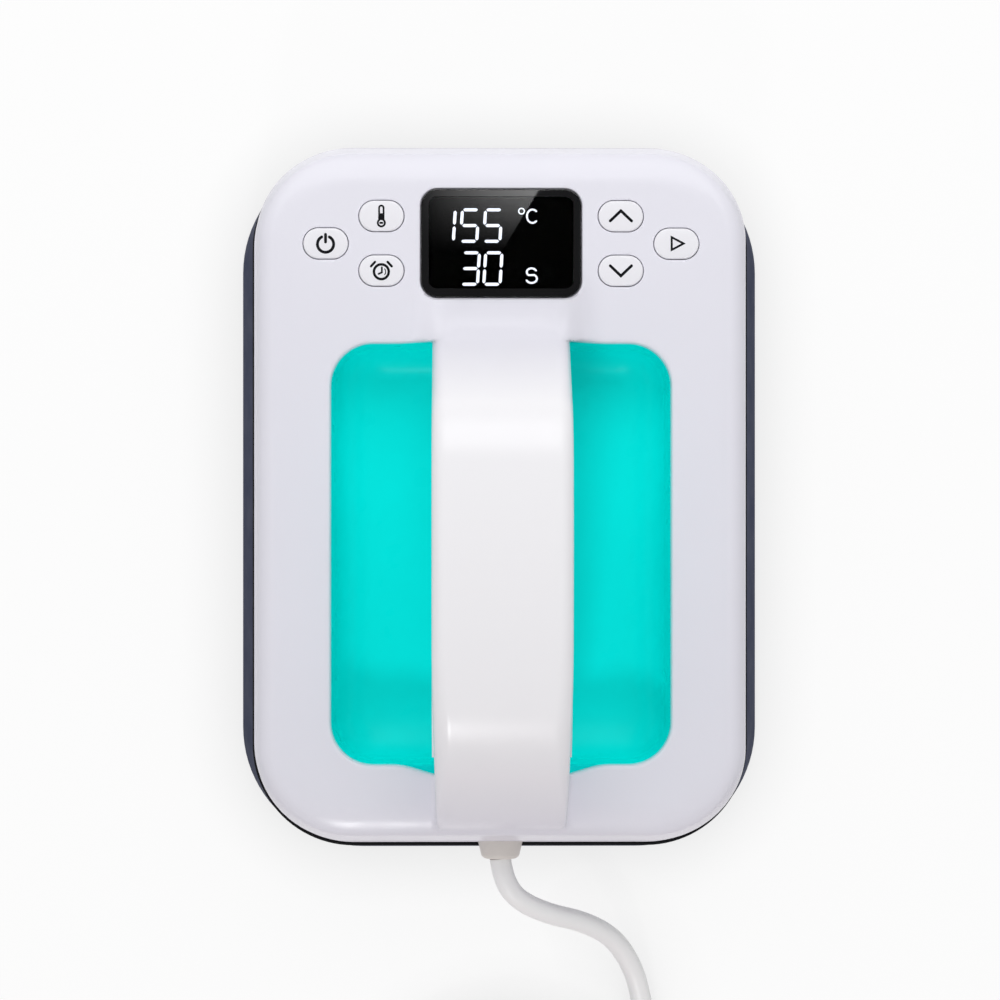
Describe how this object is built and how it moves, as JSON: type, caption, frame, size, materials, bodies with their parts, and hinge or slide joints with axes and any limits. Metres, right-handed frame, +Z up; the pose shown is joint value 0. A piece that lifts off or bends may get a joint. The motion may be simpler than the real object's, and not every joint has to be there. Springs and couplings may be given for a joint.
{
  "type": "handheld heat press",
  "caption": "Small heat press with an arched handle over a finger recess, a display, push buttons, a flat heated plate and a mains cord.",
  "frame": {"origin": "on the table, under the middle of the base", "axes": "+Z up, +Y towards the display end, +X to the right seen from above with the display at the top"},
  "size_m": [0.148, 0.3722, 0.088],
  "materials": {
    "skirt_plastic": "moulded heat resistant plastic, satin",
    "gasket_rubber": "soft black seal",
    "plate_coating": "dark non-stick coating on cast aluminium",
    "element_steel": "drawn steel sheath",
    "insulation_felt": "ceramic fibre felt",
    "sheet_steel": "zinc plated sheet",
    "screw_steel": "zinc plated screws",
    "thermostat_body": "phenolic disc thermostat",
    "sensor_metal": "probe and clip",
    "shell_abs": "fine satin, white",
    "cover_abs": "fine satin, white",
    "tray_teal": "smooth satin, teal",
    "lens_acrylic": "polished, smoked",
    "display_black": "matt black",
    "display_digits": "lit white segments",
    "board_green": "solder mask on glass epoxy",
    "switch_black": "moulded",
    "relay_blue": "moulded case",
    "transformer_yellow": "taped winding and core",
    "capacitor_yellow": "moulded box",
    "capacitor_black": "sleeved can",
    "fuse_glass": "glass tube with metal caps",
    "buzzer_black": "moulded",
    "terminal_green": "moulded",
    "ribbon_grey": "flat PVC cable",
    "wire_earth": "PVC insulation",
    "wire_blue": "PVC insulation",
    "wire_brown": "PVC insulation",
    "lead_white": "glass braid sleeve",
    "relief_cream": "moulded PVC",
    "cord_pvc": "smooth PVC sheath",
    "clamp_nylon": "moulded nylon",
    "plug_pvc": "moulded PVC",
    "pin_brass": "nickel plated brass",
    "button_white": "fine satin, white"
  },
  "bodies": {
    "press": {"board_link": "ribbon_grey", "buzzer": "buzzer_black", "case_screws": "screw_steel", "clamp_screws": "screw_steel", "control_board": "board_green", "control_board_screws": "screw_steel", "cord_clamp": "clamp_nylon", "cord_coil": "cord_pvc", "cord_sheath": "cord_pvc", "cord_tail": "cord_pvc", "display_lens": "lens_acrylic", "display_module": "display_black", "display_segments": "display_digits", "earth_wire": "wire_earth", "filter_capacitor": "capacitor_yellow", "grip_tray": "tray_teal", "handle_cover": "cover_abs", "handle_screws": "screw_steel", "heat_shield": "sheet_steel", "heater_leads": "lead_white", "heating_element": "element_steel", "heating_plate": "plate_coating", "insulation_pad": "insulation_felt", "live_wire": "wire_brown", "mains_cord": "cord_pvc", "mains_fuse": "fuse_glass", "neutral_wire": "wire_blue", "plate_screws": "screw_steel", "plug_body": "plug_pvc", "plug_pins": "pin_brass", "power_board": "board_green", "power_board_screws": "screw_steel", "relay": "relay_blue", "seam_gasket": "gasket_rubber", "skirt": "skirt_plastic", "smoothing_capacitors": "capacitor_black", "strain_relief": "relief_cream", "switch_bodies": "switch_black", "temperature_sensor": "sensor_metal", "terminal_block": "terminal_green", "thermostat": "thermostat_body", "top_shell": "shell_abs", "transformer": "transformer_yellow", "tray_screws": "screw_steel"},
    "power": {"power_button": "button_white", "power_plunger": "switch_black"},
    "temperature": {"temperature_button": "button_white", "temperature_plunger": "switch_black"},
    "timer": {"timer_button": "button_white", "timer_plunger": "switch_black"},
    "up": {"up_button": "button_white", "up_plunger": "switch_black"},
    "down": {"down_button": "button_white", "down_plunger": "switch_black"},
    "start": {"start_button": "button_white", "start_plunger": "switch_black"}
  },
  "joints": [
    {"name": "power_press", "type": "slide", "parent": "press", "child": "power", "axis": [0, 0, -1], "range_m": [0, 0.0005], "stiffness_N_per_m": 2000, "springref_m": -0.0003},
    {"name": "temperature_press", "type": "slide", "parent": "press", "child": "temperature", "axis": [0, 0, -1], "range_m": [0, 0.0005], "stiffness_N_per_m": 2000, "springref_m": -0.0003},
    {"name": "timer_press", "type": "slide", "parent": "press", "child": "timer", "axis": [0, 0, -1], "range_m": [0, 0.0005], "stiffness_N_per_m": 2000, "springref_m": -0.0003},
    {"name": "up_press", "type": "slide", "parent": "press", "child": "up", "axis": [0, 0, -1], "range_m": [0, 0.0005], "stiffness_N_per_m": 2000, "springref_m": -0.0003},
    {"name": "down_press", "type": "slide", "parent": "press", "child": "down", "axis": [0, 0, -1], "range_m": [0, 0.0005], "stiffness_N_per_m": 2000, "springref_m": -0.0003},
    {"name": "start_press", "type": "slide", "parent": "press", "child": "start", "axis": [0, 0, -1], "range_m": [0, 0.0005], "stiffness_N_per_m": 2000, "springref_m": -0.0003}
  ]
}
